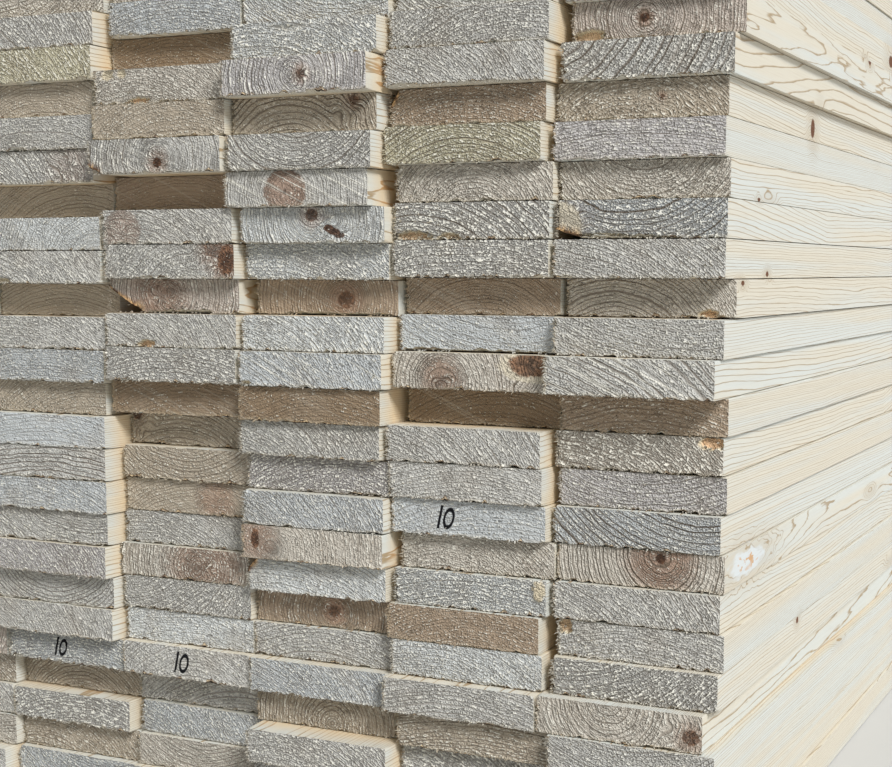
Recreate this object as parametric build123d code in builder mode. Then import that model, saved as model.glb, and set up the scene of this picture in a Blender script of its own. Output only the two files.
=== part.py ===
from build123d import *
import os

# A stack of dressed softwood boards, six side by side and twenty-six high.
# Millimetres. +Z is up, the boards run along Y, and the ends that are looked at face -Y.
# The origin is the middle of the stack's footprint, on the floor.

# Driving dimensions of one board
board_width = 184.0
board_thickness = 39.5
board_length = 3048.0
edge_ease = 2.5
length_step = 1.5
length_steps = 4

# Boards of one column came off the planer a little thicker or thinner than the rest
thickness_offset = {"a": -0.4, "b": -0.4, "c": 0.0, "d": 0.0, "e": 0.2, "f": 0.2}

# How far each end reaches out of the stack's mean front, from the top board down
reach = {
    "a": [-6, 5, -12, 3, 10, -4, 8, -15, 0, 12, -8, 4, -3,
          9, -11, 2, 6, -14, 1, -7, 5, -10, -22, -15, -12, 6],
    "b": [6, -4, 17, 21, 9, 21, 18, -17, 13, 13, -20, 10, 11,
          0, 15, 14, 15, 10, 16, 2, 6, -9, -37, -13, -25, -15],
    "c": [2, -12, 0, -16, 23, 27, 33, -19, 15, 15, 0, 13, 17,
          -2, -33, -13, -18, -19, -12, -12, -14, -3, -34, -27, -20, -10],
    "d": [-5, -14, 0, 25, 42, 15, 27, 22, 12, -1, -19, 9, 18,
          13, 7, -2, 11, 11, -1, -21, -15, 0, -17, 19, 5, -6],
    "e": [-8, 4, -10, 6, 12, -5, 3, -9, -5, -2, -30, -15, -1,
          -34, 2, 1, -4, -15, -8, -2, -2, 13, 0, -13, -6, -12],
    "f": [8, -6, -18, -27, -14, -24, -11, -21, -10, -4, -34, -4, 13,
          -26, -25, -26, -17, -19, -12, -13, -3, 11, 15, 2, -10, -4],
}

# How far each board of the right-hand column stands out of the long side, from the top down
side_step = [2, 0, 4, 10, 3, -5, -4, -1, 0, 0, 3, 0, -3.5,
             -1, -5, -1, -4, 0, -2, 3, 0, -11, 3, 0, -3, 1]

# The gap between each board and its neighbour on the right, from the top down
gap_on_right = {
    "a": [3, 5, 2, 4, 2, 1, 0.5, 1, 2, 3.5, 1, 0.5, 6,
          1, 4, 1, 5, 3, 2, 4, 1, 3, 2, 2, 1, 3],
    "b": [6, 4, 9, 1.5, 13.5, 5, 4.5, 1, 3, 5.5, 1, 3, 6,
          8, 1, 5, 3, 4, 0.5, 4, 6, 2, 0.5, 7.5, 1.5, 1],
    "c": [1, 8, 3, 11.5, 4.5, 1.5, 3.5, 1, 9, 5, 12, 5, 5,
          6, 0.5, 3, 4.5, 5, 6, 2.5, 0.5, 0.5, 0.5, 1.5, 0.5, 1],
    "d": [6, 3, 2, 4, 4.5, 3.5, 1.5, 17, 1, 3, 3, 6, 3,
          9.5, 4.5, 1, 2.5, 10, 6.5, 0.5, 4.5, 0.5, 12.5, 3.5, 2.5, 1],
    "e": [6, 2, 7, 11, 7, 3, 7, 1, 4, 4, 5, 2, 0.5,
          1, 6, 8, 3, 1, 5, 16, 9, 1, 3, 1, 1, 7],
}

# Wane, where the saw ran out into the round of the log: how far it goes in from the
# board's side, and how far along its thickness, each at the named long edge
wane = {
    ("c", 16): ("lower left", 56.0, 31.0),
    ("c", 20): ("lower left", 21.0, 10.0),
    ("f", 18): ("lower left", 30.0, 9.0),
    ("e", 21): ("upper left", 14.0, 22.0),
    ("d", 8): ("upper left", 17.0, 18.0),
}
wane_bulge = 0.12

columns = "abcdef"
layer_count = len(side_step)


def board_height(column):
    """The thickness of the boards of one column."""
    return board_thickness + thickness_offset[column]


def right_edges(row):
    """Where the right side of each board of one row is, measured from the long side."""
    edge = side_step[row]
    found = {"f": edge}
    for column in "edcba":
        edge -= board_width + gap_on_right[column][row]
        found[column] = edge
    return found


def length_of(column, layer):
    """The cut length of one board: the saw leaves some a few millimetres over."""
    step = (5 * layer + 3 * columns.index(column)) % length_steps
    return board_length + length_step * step


def front_of(column, row):
    """Where the sawn front end of one board stands, before the stack is centred."""
    return -reach[column][row]


# The stack's reach to every side, for an origin in the middle of its footprint
rows = range(layer_count)
x_high = max(side_step)
x_low = min(right_edges(row)["a"] - board_width for row in rows)
y_low = min(front_of(column, row) for column in columns for row in rows)
y_high = max(
    front_of(column, row) + length_of(column, layer_count - row)
    for column in columns
    for row in rows
)
x_middle = (x_low + x_high) / 2
y_middle = (y_low + y_high) / 2


def board_end(column, layer, plane):
    """The end profile of one board: eased edges, and wane where the board has it."""
    height = board_height(column)
    with BuildSketch(plane) as end:
        Rectangle(board_width, height)
        chamfer(end.vertices(), length=edge_ease)
        if (column, layer) in wane:
            corner, across, along = wane[(column, layer)]
            vertical, side = corner.split()
            out_x = -1 if side == "left" else 1
            out_z = -1 if vertical == "lower" else 1
            corner_x = out_x * board_width / 2
            corner_z = out_z * height / 2
            on_face = (corner_x - out_x * across, corner_z)
            on_side = (corner_x, corner_z - out_z * along)
            bulge = wane_bulge * min(across, along)
            middle_x = (on_face[0] + on_side[0]) / 2 + out_x * bulge
            middle_z = (on_face[1] + on_side[1]) / 2 + out_z * bulge
            past_x = corner_x + out_x * edge_ease
            past_z = corner_z + out_z * edge_ease
            with BuildLine():
                ThreePointArc(on_face, (middle_x, middle_z), on_side)
                Polyline(on_side, (past_x, on_side[1]), (past_x, past_z))
                Polyline((past_x, past_z), (on_face[0], past_z), on_face)
            make_face(mode=Mode.SUBTRACT)
    return end.sketch


# One node for each layer, with its six boards lying side by side
os.makedirs("parts", exist_ok=True)
for layer in range(1, layer_count + 1):
    row = layer_count - layer
    edges = right_edges(row)
    with BuildPart() as boards:
        for column in columns:
            x = edges[column] - board_width / 2 - x_middle
            y = front_of(column, row) - y_middle
            z = (layer - 0.5) * board_height(column)
            front = Plane((x, y, z), x_dir=(1, 0, 0), z_dir=(0, -1, 0))
            profile = board_end(column, layer, front)
            extrude(profile, amount=-length_of(column, layer))
    name = f"layer_{layer:02d}"
    boards.part.label = name
    export_step(boards.part, f"parts/{name}.step")
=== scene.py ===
"""A stack of softwood boards, with torn, sawn ends to the front and smooth long sides."""

import logging
import math
from dataclasses import dataclass, field
from enum import Enum

import bpy
import numpy as np
from mathutils import Matrix, Vector


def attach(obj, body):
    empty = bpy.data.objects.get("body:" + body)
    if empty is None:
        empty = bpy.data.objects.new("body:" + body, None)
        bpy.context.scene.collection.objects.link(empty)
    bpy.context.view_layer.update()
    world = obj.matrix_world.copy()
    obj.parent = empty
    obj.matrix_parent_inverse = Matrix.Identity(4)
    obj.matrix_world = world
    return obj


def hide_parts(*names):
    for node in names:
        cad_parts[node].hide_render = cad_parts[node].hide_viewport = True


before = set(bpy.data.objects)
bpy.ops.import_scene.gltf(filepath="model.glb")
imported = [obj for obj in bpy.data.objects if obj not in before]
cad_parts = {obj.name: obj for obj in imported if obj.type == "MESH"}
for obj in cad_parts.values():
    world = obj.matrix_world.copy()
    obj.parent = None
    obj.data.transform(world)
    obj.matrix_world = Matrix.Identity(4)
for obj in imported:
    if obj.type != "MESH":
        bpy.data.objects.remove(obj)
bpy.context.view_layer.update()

logging.basicConfig(level=logging.INFO, format="%(message)s")
log = logging.getLogger("lumber stack")

MM = 0.001
COLUMNS = "abcdef"

# A splinter's vertices and faces, and a place on a shader node that a wire starts or ends at
Spike = tuple[np.ndarray, list]
Socket = bpy.types.NodeSocket

# What the boards' stored values read where there is no knot, edge or number near
NO_KNOT = (99.0, 9.0, 0.0)
NO_EDGE = (50.0, 20.0, 0.0)
NOWHERE = 9.0


class Tone(Enum):
    """The colour of a sawn end, as red, green and blue between 0 and 1; on recessed boards the
    darker tones also paint shade.
    """

    GREY = (0.734, 0.729, 0.703)
    BLUE = (0.712, 0.732, 0.735)
    BEIGE = (0.750, 0.718, 0.662)
    TAN = (0.650, 0.598, 0.520)
    BROWN = (0.590, 0.508, 0.420)
    PINK = (0.722, 0.668, 0.618)
    # Painted shade: the darkest tone goes on recessed boards, partly for their browner wood and
    # partly as painted shade
    DARK = (0.485, 0.405, 0.315)
    YELLOW = (0.735, 0.708, 0.585)
    PURPLE = (0.715, 0.700, 0.690)
    PALE = (0.792, 0.808, 0.800)


GREY, BLUE, BEIGE, TAN, BROWN, PINK, DARK, YELLOW, PURPLE, PALE = Tone


class Edge(Enum):
    """The long edge, at the left of a board's end, where the board has wane."""

    LOWER = -1.0
    UPPER = 1.0


@dataclass(frozen=True)
class Grain:
    """How the growth rings and the saw left one board's end.

    Args:
        tone: The colour of the end.
        pith_x: How far right of the end's middle the log's pith is, in millimetres.
        pith_z: How far above the middle it is.
        spacing: How far apart the rings are, in millimetres.
        line: How dark the late wood is, from 0 to 1.
        fuzz: How furry the saw left the end, from 0 to 1.
        saw: How plainly the saw's own marks show, from 0 to 1.
        thin: How much thinner than its solid the board is, in millimetres.
    """

    tone: Tone = GREY
    pith_x: float = 0.0
    pith_z: float = -200.0
    spacing: float = 4.0
    line: float = 0.5
    fuzz: float = 0.6
    saw: float = 0.4
    thin: float = 0.4


@dataclass(frozen=True)
class Mark:
    """Something that one board's end shows.

    Args:
        column: The letter of the board's column.
        row: The board's place from the top, counted from 0.
    """

    column: str
    row: int


@dataclass(frozen=True)
class Knot(Mark):
    """A knot, heart or stain on one end, in millimetres.

    Args:
        x: How far right of the end's middle it is.
        z: How far above the middle it is.
        radius: Half its width.
        dark: How much of a knot's colour it has, from 0 to 1.
        blush: How brown the wood around it is, from 0 to 1.
        flat: Its height as a share of its width.
        collar: How pale the wood close round it is, from 0 to 1.
        spread: How far the brown wood reaches, or 0 for a little past the knot.
    """

    x: float
    z: float
    radius: float
    dark: float = 0.6
    blush: float = 0.4
    flat: float = 0.9
    collar: float = 0.0
    spread: float = 0.0


@dataclass(frozen=True)
class Chip(Mark):
    """A place on one end where wood broke out, or where a splinter stands up, in millimetres.

    Args:
        x: How far right of the end's middle it is.
        z: How far above the middle it is.
        half_width: Half its width.
        half_height: Half its height.
        depth: How deep it is, or how far it stands up where this is negative.
        warm: How much of the fresh wood's colour it shows, from 0 to 1.
    """

    x: float
    z: float
    half_width: float
    half_height: float
    depth: float
    warm: float = 0.4


@dataclass(frozen=True)
class Gap(Mark):
    """A stretch of one end's lower edge that doesn't touch the board below, in millimetres.

    Args:
        low: Where it begins, to the right of the end's middle.
        high: Where it ends.
        lift: How high it gapes.
    """

    low: float
    high: float
    lift: float


@dataclass(frozen=True)
class Wane(Mark):
    """Where the saw ran out into the round of the log, in millimetres.

    Args:
        edge: The long edge that it took.
        across: How far it reaches in from the board's side.
        along: How far it reaches along the board's thickness.
    """

    edge: Edge
    across: float
    along: float


@dataclass(frozen=True)
class Number(Mark):
    """A plain length number in pen on one end, in millimetres.

    Args:
        x: How far right of the end's middle it is.
        z: How far above the middle it is.
        height: How tall it is.
    """

    x: float
    z: float
    height: float


# From the top board of each column down to the floor, the values of each board's Grain
# On recessed boards the warmer and darker tones are partly their browner wood, and partly painted
# shade with warm bounce light in it
ENDS = {
    "a": [(GREY, 60, -150), (BEIGE, -40, 90), (GREY, 0, -220), (BLUE, -120, 160), (BEIGE, 80, -90),
          (GREY, -60, -180), (PURPLE, 0, 140), (GREY, 90, 120), (BEIGE, -30, -70),
          (GREY, -140, -120), (BLUE, 0, -260), (GREY, 70, 150), (BEIGE, -90, -60), (GREY, 40, -130),
          (GREY, -150, 90), (TAN, 0, -90), (GREY, 110, -140), (BLUE, -50, 180), (GREY, 20, -160),
          (BEIGE, -100, -120), (GREY, 130, 60), (PINK, 0, 30), (TAN, 30, -60), (GREY, -80, -140),
          (BEIGE, 60, 110), (GREY, 0, -180)],
    "b": [(GREY, 50, -160), (BEIGE, -60, 120), (GREY, -130, -120, 5.0, 0.6, 0.7),
          (YELLOW, -120, -130, 5.0, 0.45), (TAN, 20, -160, 3.5, 0.4, 0.35),
          (GREY, 0, -260, 3.5, 0.4, 0.7), (GREY, -130, -110, 5.5, 0.6, 0.7),
          (TAN, 40, -140, 4.0, 0.4, 0.3), (PALE, 90, -60, 4.0, 0.45, 0.5),
          (GREY, -120, -150, 5.0, 0.4, 0.6, 0.8), (TAN, 10, -170, 4.0, 0.3, 0.25),
          (GREY, -60, -220, 4.0, 0.4), (BLUE, 0, -380, 3.5, 0.5, 0.6),
          (TAN, 70, -150, 4.0, 0.4, 0.4), (BLUE, 0, -300, 4.5, 0.3, 0.35),
          (GREY, 10, -420, 6.0, 0.9, 0.5), (BLUE, -40, -240, 4.0, 0.4, 0.5),
          (GREY, 60, 170, 4.0, 0.5), (PURPLE, -130, -120, 4.5, 0.6, 0.7, 0.6),
          (GREY, 0, 90, 5.0, 0.6), (GREY, -140, -100, 4.5, 0.5), (BLUE, 0, -300, 4.0, 0.4, 0.9),
          (TAN, 0, -70, 4.0, 0.6, 0.4), (GREY, 20, -200, 4.0, 0.45, 0.9),
          (TAN, -60, -120, 4.0, 0.5, 0.5), (BLUE, 40, 150, 4.0, 0.45, 0.7)],
    "c": [(GREY, -40, 140), (BEIGE, 60, -150), (BLUE, 0, -260), (DARK, 0, -220, 3.5, 0.3, 0.3),
          (BEIGE, -40, -150, 4.0, 0.45, 0.7), (TAN, 30, -160, 4.0, 0.35, 0.4),
          (GREY, 8, -2, 4.0, 0.6, 0.6, 0.8), (BROWN, 0, -210, 4.0, 0.3, 0.25),
          (GREY, -60, -130, 4.5, 0.5, 0.6), (GREY, 40, -90, 5.0, 0.45, 0.7, 0.6),
          (PINK, 0, 4, 4.0, 0.6, 0.5), (GREY, -130, -130, 5.0, 0.5, 0.6, 0.7),
          (GREY, 0, -260, 4.0, 0.5, 0.8), (DARK, 20, -190, 4.0, 0.3, 0.25),
          (TAN, -20, -110, 4.5, 0.5, 0.4), (TAN, 0, 120, 4.0, 0.45, 0.4),
          (TAN, 30, -200, 4.0, 0.4, 0.35), (GREY, -70, -180, 4.0, 0.5, 0.7),
          (BEIGE, 20, -3, 4.5, 0.6, 0.6), (GREY, -100, 130, 4.0, 0.5, 0.7),
          (PALE, 0, -260, 3.5, 0.35, 0.5), (GREY, 10, -90, 4.0, 0.4, 0.5),
          (GREY, 60, -160, 4.5, 0.5, 0.6), (BLUE, -120, -120, 4.0, 0.5, 0.7),
          (BEIGE, 0, 110, 4.5, 0.5, 0.6), (GREY, -30, -170, 4.0, 0.5, 0.7)],
    "d": [(GREY, 70, -150), (BEIGE, -50, -190), (PALE, 40, 150), (PALE, -60, -190, 4.5, 0.45, 0.8),
          (PURPLE, 0, 0, 5.0, 0.6, 0.5), (TAN, -20, -75, 6.0, 0.9, 0.4),
          (GREY, 0, 80, 5.0, 0.6, 0.7), (GREY, -12, -3, 3.4, 0.5, 0.4, 1.0),
          (PALE, 2, 12, 4.5, 0.5, 0.6), (PALE, -60, -170, 4.0, 0.3, 0.8),
          (BROWN, 20, -3, 4.0, 0.4, 0.3), (PALE, -110, -140, 4.0, 0.5, 0.6, 0.5),
          (BLUE, -150, -140, 5.5, 0.4, 0.5, 0.9), (DARK, 20, -200, 4.0, 0.35, 0.3),
          (GREY, -120, -130, 5.0, 0.5, 0.7, 0.8), (PURPLE, 30, -150, 4.0, 0.5, 0.9),
          (BLUE, -140, -120, 5.0, 0.5, 0.6, 0.5), (BEIGE, -48, -8, 5.0, 0.4, 0.4, 0.4),
          (PALE, -60, -210, 4.0, 0.4, 0.5), (BROWN, 10, -3, 4.0, 0.5, 0.4),
          (GREY, 0, -190, 4.5, 0.5, 0.6), (BLUE, -110, -120, 4.5, 0.5, 0.6),
          (TAN, 10, -12, 4.5, 0.6, 0.5), (GREY, -60, -160, 4.5, 0.4, 0.7),
          (GREY, 80, -140, 4.5, 0.5, 0.7), (BEIGE, 0, 130, 4.0, 0.5, 0.6)],
    "e": [(BEIGE, 0, -150), (GREY, -90, -140), (GREY, 30, 130), (GREY, 60, -180, 4.0, 0.45, 0.7),
          (GREY, -130, -140, 4.5, 0.5, 0.6, 0.6), (BROWN, 0, -190, 4.0, 0.35, 0.5),
          (YELLOW, 0, -120, 5.0, 0.7, 0.7), (BEIGE, 0, -55, 4.5, 0.6, 0.6),
          (GREY, -70, -150, 6.0, 0.85, 1.0, 0.4), (GREY, 0, -330, 4.0, 0.5, 0.9),
          (BROWN, 0, -90, 3.5, 0.45, 0.3), (BLUE, 40, 190, 6.0, 0.35, 0.4),
          (BEIGE, -32, -12, 4.5, 0.8, 0.45, 0.4), (DARK, 20, -160, 4.0, 0.35, 0.25),
          (GREY, -120, -130, 5.0, 0.5, 0.6, 0.5), (GREY, 10, -260, 4.0, 0.4, 0.5),
          (BLUE, 40, -300, 5.0, 0.25, 0.4), (BEIGE, -40, -120, 4.0, 0.5, 0.6),
          (PALE, 0, -280, 4.5, 0.5, 1.0), (BROWN, 20, -200, 4.0, 0.4, 0.4),
          (PALE, -50, -190, 4.0, 0.45, 0.6), (GREY, 0, -300, 4.5, 0.55, 0.6),
          (TAN, 20, -420, 4.0, 0.6, 0.5), (GREY, -110, -150, 4.5, 0.5, 0.8),
          (GREY, 60, -150, 4.0, 0.5, 0.6), (BEIGE, 0, 120, 4.0, 0.45, 0.6)],
    "f": [(GREY, -40, -160), (BEIGE, 70, -120), (GREY, -110, 140), (PINK, -13, 1, 4.0, 0.7, 0.5),
          (GREY, -150, 110, 10.0, 0.8, 0.7), (TAN, -10, -90, 4.5, 0.4, 0.5),
          (PURPLE, 0, -420, 3.2, 0.6, 0.5), (BEIGE, 0, 60, 4.5, 0.55, 0.6),
          (BLUE, -10, 120, 7.0, 0.85, 0.9), (GREY, -110, -210, 4.0, 0.6, 0.6, 0.4),
          (BEIGE, -40, -90, 4.0, 0.6, 0.45), (GREY, 50, 260, 6.0, 0.4, 0.6, 0.5),
          (GREY, -150, -240, 7.5, 0.7, 0.5, 1.0), (BROWN, 0, -210, 4.0, 0.35, 0.4),
          (BEIGE, -100, -170, 5.5, 0.6, 0.9, 0.5), (PURPLE, 0, 210, 4.5, 0.5, 0.6),
          (BLUE, 70, 150, 6.5, 0.9, 0.7, 0.4), (BEIGE, 24, 14, 4.5, 0.9, 0.4),
          (GREY, -130, -140, 4.5, 0.6, 0.6, 0.7), (GREY, 0, -300, 4.0, 0.45, 0.6),
          (GREY, -80, 150, 4.5, 0.5, 0.9), (BEIGE, -10, 24, 5.0, 0.6, 0.5),
          (GREY, 0, 150, 4.5, 0.5, 0.6), (GREY, -60, -150, 4.0, 0.5, 0.6),
          (BEIGE, 40, 120, 4.0, 0.5, 0.6), (GREY, 0, -200, 4.0, 0.5, 0.6)],
}

KNOTS = [
    Knot("f", 3, -13, 1, 5, 0.9, 0.7), Knot("f", 17, 24, 12, 6, 0.9, 0.85, 0.9, 0.0, 42),
    Knot("f", 21, 80, -4, 9, 0.8, 0.5), Knot("f", 5, 22, 2, 3, 0.8, 0.5),
    Knot("e", 12, 74, 9, 27, 0.92, 0.10, 0.48, 0.9),
    Knot("e", 12, -32, -7, 10, 0.15, 0.7, 0.9, 0.0, 28), Knot("d", 4, 12, 0, 6, 0.7, 0.5),
    Knot("d", 5, 64, 13, 6, 0.7, 0.5), Knot("d", 7, -12, -3, 3, 0.3, 0.8, 0.9, 0.0, 50),
    Knot("d", 8, 1, 11, 8, 0.75, 0.5), Knot("d", 8, 23, -3, 7.0, 0.95, 0.0, 0.55),
    Knot("d", 8, 30, -7, 8.0, 0.95, 0.0, 0.5), Knot("d", 8, 37, -11, 7.0, 0.9, 0.0, 0.45),
    Knot("d", 10, 26, -2, 11, 0.7, 0.6), Knot("d", 17, -74, 4, 6, 0.9, 0.7, 2.0, 0.0, 34),
    Knot("d", 19, 14, 0, 8, 0.6, 0.8), Knot("c", 6, 7, -8, 6, 0.95, 0.6, 0.9, 0.0, 18),
    Knot("c", 8, -62, -4, 3, 0.0, 0.6, 0.9, 0.0, 36),
    Knot("c", 9, 82, 3, 12, 0.9, 0.8, 1.5, 0.0, 30),
    Knot("c", 9, 64, 15, 13, 0.6, 0.6, 0.8, 0.0, 26), Knot("c", 10, -20, -2, 20, 0.15, 0.7),
    Knot("f", 8, -86, -6, 17, 0.0, 0.3, 1.0, 0.8),
    Knot("c", 18, 34, -4, 12, 0.1, 0.75, 0.9, 0.0, 62), Knot("c", 14, -82, 15, 7, 0.8, 0.3),
    Knot("c", 16, 40, 0, 4, 0.2, 0.6, 0.9, 0.0, 30), Knot("b", 6, 60, 0, 20, 0.1, 0.3),
]

CHIPS = [
    Chip("d", 3, -20, 12, 26, 4, 2.5, 0.1), Chip("e", 8, -70, -16, 22, 6, 7.0, 0.8),
    Chip("e", 8, -25, -18, 14, 5, 6.0, 0.7), Chip("f", 14, 79, 14, 13, 7, 6.0, 1.0),
    Chip("f", 10, 62, -16, 9, 5, 6.0, 0.9), Chip("c", 4, -72, 14, 9, 6, 3.0, 0.4),
    Chip("c", 4, -52, 15, 6, 5, 3.0, 0.4), Chip("c", 4, -28, -17, 14, 4, 5.0, 0.9),
    Chip("c", 11, -34, -16, 12, 5, 6.0, 0.9), Chip("f", 3, -74, -15, 16, 7, 8.0, 0.8),
    Chip("f", 19, -84, 12, 9, 8, 7.0, 0.8), Chip("d", 12, -82, -17, 6, 4, 6.0),
    Chip("e", 18, 84, 8, 8, 11, -2.5), Chip("b", 9, -60, -17, 14, 4, 5.0),
    Chip("e", 23, 20, -17, 30, 4, 4.0), Chip("f", 8, -40, -18, 30, 4, 5.0),
]

GAPS = [
    Gap("f", 8, -92, 40, 2.2), Gap("e", 11, -92, 92, 2.2), Gap("d", 10, -60, 92, 2.4),
    Gap("c", 10, -40, 60, 2.4), Gap("e", 4, -92, 60, 1.4), Gap("f", 4, -20, 92, 1.2),
]

WANES = [
    Wane("c", 10, Edge.LOWER, 56.0, 31.0), Wane("c", 6, Edge.LOWER, 21.0, 10.0),
    Wane("f", 8, Edge.LOWER, 30.0, 9.0), Wane("e", 5, Edge.UPPER, 14.0, 22.0),
    Wane("d", 18, Edge.UPPER, 17.0, 18.0),
]

# Pin knots on the long side: how far along, how high, half the length and half the height
SIDE_KNOTS = [(-1469, 631, 6.0, 2.6), (-1370, 640, 5.0, 3.0), (-1170, 809, 9.0, 11.0),
              (-779, 932, 14.0, 8.0), (-942, 912, 8.0, 4.0), (-1209, 231, 5.0, 4.0),
              (-1403, 717, 5.0, 2.0)]

NUMBERS = [Number("e", 16, -24.0, 1.0, 27.0), Number("c", 21, -4.0, 1.0, 27.0),
           Number("b", 21, -6.0, 1.0, 25.0)]


@dataclass
class Lattice:
    """Repeatable noise on a lattice, so that every run gives the same wood.

    Args:
        seed: The number that sets this noise apart from another.
        strides: Three large odd numbers that keep the lattice's rows apart.
        stirs: How far the bits are shifted, and what they are multiplied by, at each stir.
        mask: The bits that are kept.
    """

    seed: int
    strides: tuple[int, ...] = (374761393, 668265263, 1274126177)
    stirs: tuple[tuple[int, int], ...] = ((13, 1103515245), (16, 12820163))
    mask: int = 0xFFFFFFFF

    def corner(self, cells: np.ndarray) -> np.ndarray:
        """Gives each lattice corner its fixed value.

        Args:
            cells: Whole-number places, one in each row.

        Returns:
            One value between -1 and 1 for each row.
        """
        mixed = cells.astype(np.int64) @ np.array(self.strides)
        mixed = (mixed + self.seed * 144665) & self.mask
        for shift, factor in self.stirs:
            mixed = ((mixed ^ (mixed >> shift)) * factor) & self.mask
        return (mixed & 0xFFFF) / 32767.5 - 1.0

    def at(self, places: np.ndarray) -> np.ndarray:
        """Reads the noise at many places.

        Args:
            places: Places in lattice units, one in each row.

        Returns:
            One smooth value between -1 and 1 for each row.
        """
        low = np.floor(places)
        part = places - low
        part = part * part * (3.0 - 2.0 * part)
        total = np.zeros(len(places))
        for step in np.ndindex(2, 2, 2):
            share = np.where(step, part, 1 - part)
            weight = share[:, 0] * share[:, 1] * share[:, 2]
            total += weight * self.corner(low + np.array(step))
        return total


def smooth(low: float, high: float, value: np.ndarray) -> np.ndarray:
    """Eases from 0 at low to 1 at high, and may run either way."""
    t = np.clip((value - low) / (high - low), 0.0, 1.0)
    return t * t * (3.0 - 2.0 * t)


def side_by_side(*parts: object) -> np.ndarray:
    """Puts columns of numbers side by side, one row for each point."""
    return np.stack(np.broadcast_arrays(*parts), axis=1)


def deselect() -> None:
    """Leaves nothing selected."""
    bpy.ops.object.select_all(action="DESELECT")


def edit(on: bool = True) -> None:
    """Enters edit mode, or leaves it."""
    bpy.ops.object.mode_set(mode="EDIT" if on else "OBJECT")


def settle() -> None:
    """Works the selected pieces' place, turn and size into their meshes."""
    bpy.ops.object.transform_apply(location=True, rotation=True, scale=True)


def show(piece: bpy.types.Object) -> None:
    """Puts a new piece into the scene."""
    bpy.context.scene.collection.objects.link(piece)


def store(mesh: bpy.types.Mesh, values: dict[str, np.ndarray]) -> None:
    """Stores three numbers at each point of a mesh, for its finish to read.

    Args:
        mesh: The mesh.
        values: The numbers, one row for each point, by name.
    """
    for name, numbers in values.items():
        stored = mesh.attributes.new(name, "FLOAT_VECTOR", "POINT")
        stored.data.foreach_set("vector", numbers.ravel())


@dataclass
class BoardBox:
    """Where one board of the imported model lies.

    Args:
        column: The letter of its column, from the left.
        row: Its place from the top, counted from 0.
        low: Its lowest corner, in metres.
        high: Its highest corner, in metres.
    """

    column: str
    row: int
    low: Vector
    high: Vector


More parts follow.
